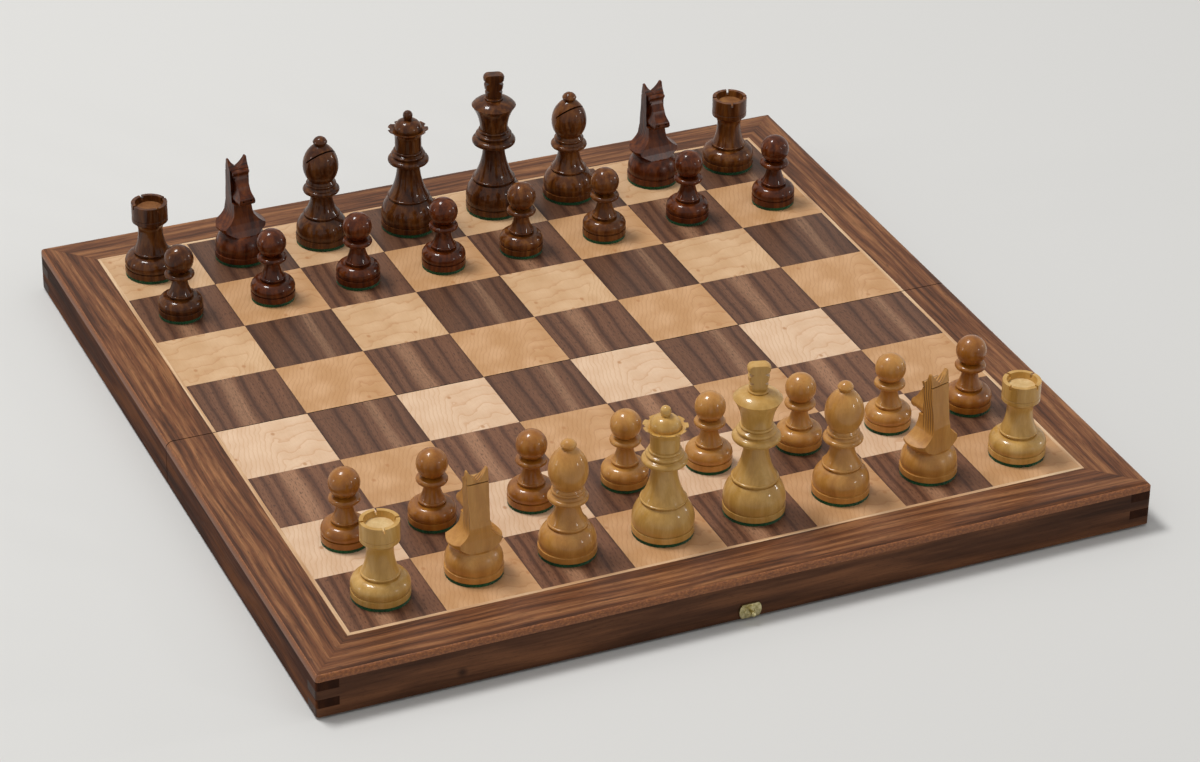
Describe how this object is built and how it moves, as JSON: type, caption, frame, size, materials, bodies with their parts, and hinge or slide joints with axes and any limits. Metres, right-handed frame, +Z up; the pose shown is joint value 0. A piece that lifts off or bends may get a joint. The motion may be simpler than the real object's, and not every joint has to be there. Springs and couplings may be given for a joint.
{
  "type": "folding chess box with men",
  "caption": "Folding wooden chess box opened flat into its board, with turned and carved men set up on it and hollow trays underneath to hold them.",
  "frame": {"origin": "under the middle of the fold, at the level on which the hinge knuckles rest", "axes": "+X to the right along the fold, +Y away from the catch plate of the near half, +Z up through the playing surface"},
  "size_m": [0.405, 0.4154, 0.0994],
  "materials": {
    "walnut": "oiled walnut, satin",
    "walnut_veneer": "walnut veneer, satin lacquer",
    "maple_veneer": "maple veneer, satin lacquer",
    "core_board": "thin core board with a stained edge",
    "felt": "green felt",
    "brass": "plain brass",
    "boxwood": "turned boxwood, waxed",
    "sheesham": "turned sheesham, polished"
  },
  "bodies": {
    "near_half": {"near_front_rail": "walnut", "near_left_rail": "walnut", "near_right_rail": "walnut", "near_fold_rail": "walnut", "near_panel": "core_board", "near_light_squares": "maple_veneer", "near_dark_squares": "walnut_veneer", "near_string_line": "maple_veneer", "near_border_veneer": "walnut_veneer", "near_lining": "felt", "near_hinge_leaves": "brass", "hinge_pins": "brass", "near_hinge_screws": "brass", "catch_stud_plate": "brass"},
    "far_half": {"far_back_rail": "walnut", "far_left_rail": "walnut", "far_right_rail": "walnut", "far_fold_rail": "walnut", "far_panel": "core_board", "far_light_squares": "maple_veneer", "far_dark_squares": "walnut_veneer", "far_string_line": "maple_veneer", "far_border_veneer": "walnut_veneer", "far_lining": "felt", "far_hinge_leaves": "brass", "far_hinge_screws": "brass", "catch_hook_plate": "brass"},
    "catch_hook": {"catch_hook": "brass"},
    "white_rook_a": {"white_rook_a": "boxwood"},
    "white_knight_b": {"white_knight_b": "boxwood"},
    "white_bishop_c": {"white_bishop_c": "boxwood"},
    "white_queen": {"white_queen": "boxwood"},
    "white_king": {"white_king": "boxwood"},
    "white_bishop_f": {"white_bishop_f": "boxwood"},
    "white_knight_g": {"white_knight_g": "boxwood"},
    "white_rook_h": {"white_rook_h": "boxwood"},
    "white_pawn_a": {"white_pawn_a": "boxwood"},
    "white_pawn_b": {"white_pawn_b": "boxwood"},
    "white_pawn_c": {"white_pawn_c": "boxwood"},
    "white_pawn_d": {"white_pawn_d": "boxwood"},
    "white_pawn_e": {"white_pawn_e": "boxwood"},
    "white_pawn_f": {"white_pawn_f": "boxwood"},
    "white_pawn_g": {"white_pawn_g": "boxwood"},
    "white_pawn_h": {"white_pawn_h": "boxwood"},
    "black_rook_a": {"black_rook_a": "sheesham"},
    "black_knight_b": {"black_knight_b": "sheesham"},
    "black_bishop_c": {"black_bishop_c": "sheesham"},
    "black_queen": {"black_queen": "sheesham"},
    "black_king": {"black_king": "sheesham"},
    "black_bishop_f": {"black_bishop_f": "sheesham"},
    "black_knight_g": {"black_knight_g": "sheesham"},
    "black_rook_h": {"black_rook_h": "sheesham"},
    "black_pawn_a": {"black_pawn_a": "sheesham"},
    "black_pawn_b": {"black_pawn_b": "sheesham"},
    "black_pawn_c": {"black_pawn_c": "sheesham"},
    "black_pawn_d": {"black_pawn_d": "sheesham"},
    "black_pawn_e": {"black_pawn_e": "sheesham"},
    "black_pawn_f": {"black_pawn_f": "sheesham"},
    "black_pawn_g": {"black_pawn_g": "sheesham"},
    "black_pawn_h": {"black_pawn_h": "sheesham"}
  },
  "joints": [
    {"name": "fold", "type": "hinge", "parent": "near_half", "child": "far_half", "pos_m": [0, 0, 0.0012], "axis": [-1, 0, 0], "range_deg": [0, 180]},
    {"name": "catch_swing", "type": "hinge", "parent": "far_half", "child": "catch_hook", "pos_m": [0, 0.2044, 0.0051], "axis": [0, -1, 0], "range_deg": [0, 90]},
    {"name": "lift_white_rook_a", "type": "slide", "parent": "near_half", "child": "white_rook_a", "axis": [0, 0, 1], "range_m": [0, 0.1]},
    {"name": "lift_white_knight_b", "type": "slide", "parent": "near_half", "child": "white_knight_b", "axis": [0, 0, 1], "range_m": [0, 0.1]},
    {"name": "lift_white_bishop_c", "type": "slide", "parent": "near_half", "child": "white_bishop_c", "axis": [0, 0, 1], "range_m": [0, 0.1]},
    {"name": "lift_white_queen", "type": "slide", "parent": "near_half", "child": "white_queen", "axis": [0, 0, 1], "range_m": [0, 0.1]},
    {"name": "lift_white_king", "type": "slide", "parent": "near_half", "child": "white_king", "axis": [0, 0, 1], "range_m": [0, 0.1]},
    {"name": "lift_white_bishop_f", "type": "slide", "parent": "near_half", "child": "white_bishop_f", "axis": [0, 0, 1], "range_m": [0, 0.1]},
    {"name": "lift_white_knight_g", "type": "slide", "parent": "near_half", "child": "white_knight_g", "axis": [0, 0, 1], "range_m": [0, 0.1]},
    {"name": "lift_white_rook_h", "type": "slide", "parent": "near_half", "child": "white_rook_h", "axis": [0, 0, 1], "range_m": [0, 0.1]},
    {"name": "lift_white_pawn_a", "type": "slide", "parent": "near_half", "child": "white_pawn_a", "axis": [0, 0, 1], "range_m": [0, 0.1]},
    {"name": "lift_white_pawn_b", "type": "slide", "parent": "near_half", "child": "white_pawn_b", "axis": [0, 0, 1], "range_m": [0, 0.1]},
    {"name": "lift_white_pawn_c", "type": "slide", "parent": "near_half", "child": "white_pawn_c", "axis": [0, 0, 1], "range_m": [0, 0.1]},
    {"name": "lift_white_pawn_d", "type": "slide", "parent": "near_half", "child": "white_pawn_d", "axis": [0, 0, 1], "range_m": [0, 0.1]},
    {"name": "lift_white_pawn_e", "type": "slide", "parent": "near_half", "child": "white_pawn_e", "axis": [0, 0, 1], "range_m": [0, 0.1]},
    {"name": "lift_white_pawn_f", "type": "slide", "parent": "near_half", "child": "white_pawn_f", "axis": [0, 0, 1], "range_m": [0, 0.1]},
    {"name": "lift_white_pawn_g", "type": "slide", "parent": "near_half", "child": "white_pawn_g", "axis": [0, 0, 1], "range_m": [0, 0.1]},
    {"name": "lift_white_pawn_h", "type": "slide", "parent": "near_half", "child": "white_pawn_h", "axis": [0, 0, 1], "range_m": [0, 0.1]},
    {"name": "lift_black_rook_a", "type": "slide", "parent": "far_half", "child": "black_rook_a", "axis": [0, 0, 1], "range_m": [0, 0.1]},
    {"name": "lift_black_knight_b", "type": "slide", "parent": "far_half", "child": "black_knight_b", "axis": [0, 0, 1], "range_m": [0, 0.1]},
    {"name": "lift_black_bishop_c", "type": "slide", "parent": "far_half", "child": "black_bishop_c", "axis": [0, 0, 1], "range_m": [0, 0.1]},
    {"name": "lift_black_queen", "type": "slide", "parent": "far_half", "child": "black_queen", "axis": [0, 0, 1], "range_m": [0, 0.1]},
    {"name": "lift_black_king", "type": "slide", "parent": "far_half", "child": "black_king", "axis": [0, 0, 1], "range_m": [0, 0.1]},
    {"name": "lift_black_bishop_f", "type": "slide", "parent": "far_half", "child": "black_bishop_f", "axis": [0, 0, 1], "range_m": [0, 0.1]},
    {"name": "lift_black_knight_g", "type": "slide", "parent": "far_half", "child": "black_knight_g", "axis": [0, 0, 1], "range_m": [0, 0.1]},
    {"name": "lift_black_rook_h", "type": "slide", "parent": "far_half", "child": "black_rook_h", "axis": [0, 0, 1], "range_m": [0, 0.1]},
    {"name": "lift_black_pawn_a", "type": "slide", "parent": "far_half", "child": "black_pawn_a", "axis": [0, 0, 1], "range_m": [0, 0.1]},
    {"name": "lift_black_pawn_b", "type": "slide", "parent": "far_half", "child": "black_pawn_b", "axis": [0, 0, 1], "range_m": [0, 0.1]},
    {"name": "lift_black_pawn_c", "type": "slide", "parent": "far_half", "child": "black_pawn_c", "axis": [0, 0, 1], "range_m": [0, 0.1]},
    {"name": "lift_black_pawn_d", "type": "slide", "parent": "far_half", "child": "black_pawn_d", "axis": [0, 0, 1], "range_m": [0, 0.1]},
    {"name": "lift_black_pawn_e", "type": "slide", "parent": "far_half", "child": "black_pawn_e", "axis": [0, 0, 1], "range_m": [0, 0.1]},
    {"name": "lift_black_pawn_f", "type": "slide", "parent": "far_half", "child": "black_pawn_f", "axis": [0, 0, 1], "range_m": [0, 0.1]},
    {"name": "lift_black_pawn_g", "type": "slide", "parent": "far_half", "child": "black_pawn_g", "axis": [0, 0, 1], "range_m": [0, 0.1]},
    {"name": "lift_black_pawn_h", "type": "slide", "parent": "far_half", "child": "black_pawn_h", "axis": [0, 0, 1], "range_m": [0, 0.1]}
  ]
}
